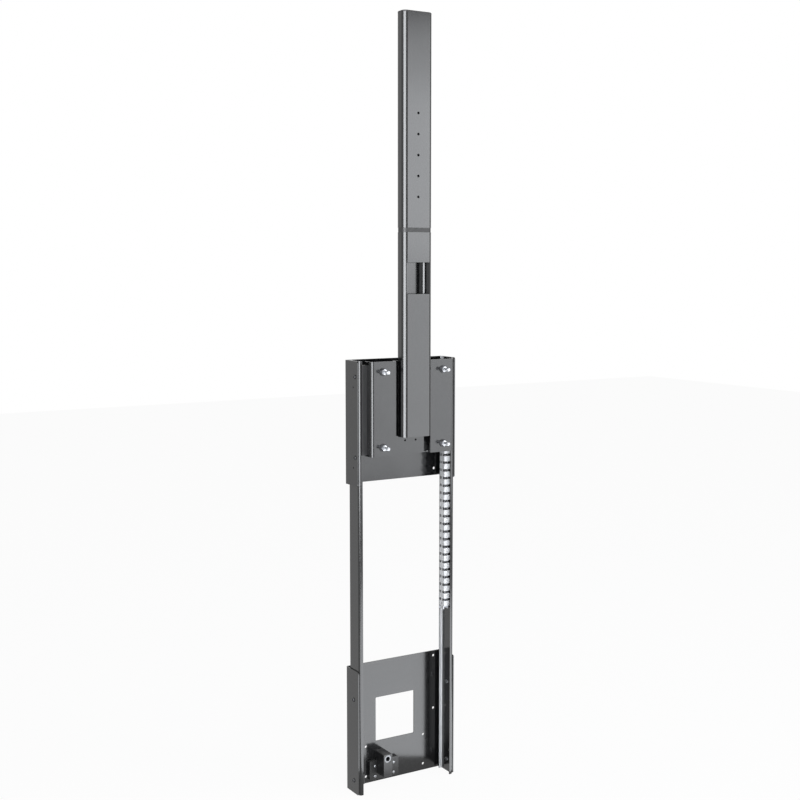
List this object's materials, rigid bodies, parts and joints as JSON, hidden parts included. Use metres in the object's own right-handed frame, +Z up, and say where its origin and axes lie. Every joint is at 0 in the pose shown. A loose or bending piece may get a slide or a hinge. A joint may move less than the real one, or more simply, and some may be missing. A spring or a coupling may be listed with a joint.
{
  "type": "tv lift mechanism",
  "caption": "Wall-fixed screen lift: a spindle-driven carriage slides on channel rails and raises a tall rectangular tube that carries the screen bracket.",
  "frame": {"origin": "on the wall plane, at the centre of the lowest four fixing holes of the lower bracket", "axes": "+X to the right as seen from the room, -Y out of the wall towards the room, +Z up along the travel"},
  "size_m": [0.2916, 0.1215, 1.938],
  "materials": {
    "black_steel": "fine-textured satin black powder coat on pressed steel",
    "black_screws": "black oxide screws and washers with a light oil sheen",
    "zinc_steel": "bright zinc-plated steel",
    "spindle_steel": "rolled steel screw with a film of grease",
    "stop_rubber": "matt black rubber",
    "black_moulding": "moulded black plastic with a fine grain",
    "motor_paint": "smooth dark motor paint",
    "cap_steel": "dark pressed end cap",
    "gland_metal": "turned metal cable sleeve",
    "gear_plastic": "dark low-friction plastic",
    "chain_plastic": "pale grey moulded nylon"
  },
  "bodies": {
    "frame": {"rail_left": "black_steel", "rail_right": "black_steel", "top_bracket": "black_steel", "foot_bracket": "black_steel", "bracket_screws": "black_screws", "bracket_screw_nuts": "zinc_steel", "top_stops": "stop_rubber", "foot_stops": "stop_rubber", "clamp_body": "black_moulding", "clamp_gland": "gland_metal", "clamp_screws": "zinc_steel", "chain_anchor": "zinc_steel", "chain_anchor_screws": "zinc_steel", "foot_block": "black_moulding", "foot_bearing": "zinc_steel", "foot_block_screws": "zinc_steel", "drive_bracket": "black_steel", "drive_bracket_screws": "zinc_steel", "gearbox_body": "black_moulding", "gearbox_cover": "black_moulding", "gearbox_screws": "zinc_steel", "motor_body": "motor_paint", "motor_cap": "cap_steel"},
    "spindle": {"spindle": "spindle_steel", "spindle_gear": "gear_plastic"},
    "motor_shaft": {"motor_pinion": "zinc_steel"},
    "carriage": {"carriage_plate": "black_steel", "carriage_studs": "zinc_steel", "stud_washers": "black_screws", "stud_nuts": "zinc_steel", "guide_left": "black_moulding", "guide_right": "black_moulding", "guide_screws": "zinc_steel", "nut_bracket": "black_steel", "nut_bracket_screws": "zinc_steel", "drive_nut": "gear_plastic", "drive_nut_screws": "zinc_steel", "chain_bracket": "zinc_steel", "chain_bracket_screws": "zinc_steel", "lower_tube": "black_steel", "joint_ring": "black_moulding", "upper_tube": "black_steel", "tube_splice": "zinc_steel", "splice_screws": "zinc_steel", "tube_cap": "black_moulding", "tube_nut_strip": "zinc_steel", "tube_screws": "zinc_steel", "tv_nut_strip": "zinc_steel"},
    "cable_chain": {"chain_sides_left": "chain_plastic", "chain_sides_right": "chain_plastic", "chain_bars_front": "chain_plastic", "chain_bars_back": "chain_plastic", "chain_ends": "zinc_steel"}
  },
  "joints": [
    {"name": "lift", "type": "slide", "parent": "frame", "child": "carriage", "axis": [0, 0, 1], "range_m": [-0.8, 0]},
    {"name": "spindle_turn", "type": "hinge", "parent": "frame", "child": "spindle", "pos_m": [-0.117, -0.03, 0.5], "axis": [0, 0, 1], "range_deg": [0, 18000]},
    {"name": "motor_turn", "type": "hinge", "parent": "frame", "child": "motor_shaft", "pos_m": [-0.087, -0.03, 0.99], "axis": [0, 0, 1], "range_deg": [-18000, 0]},
    {"name": "chain_travel", "type": "slide", "parent": "frame", "child": "cable_chain", "axis": [0, 0, 1], "range_m": [-0.4, 0]}
  ],
  "couplings": [
    {"joint": "spindle_turn", "follows": "lift", "rad_per_m": -392.7},
    {"joint": "motor_turn", "follows": "lift", "rad_per_m": 392.7},
    {"joint": "chain_travel", "follows": "lift", "ratio": 0.5}
  ]
}
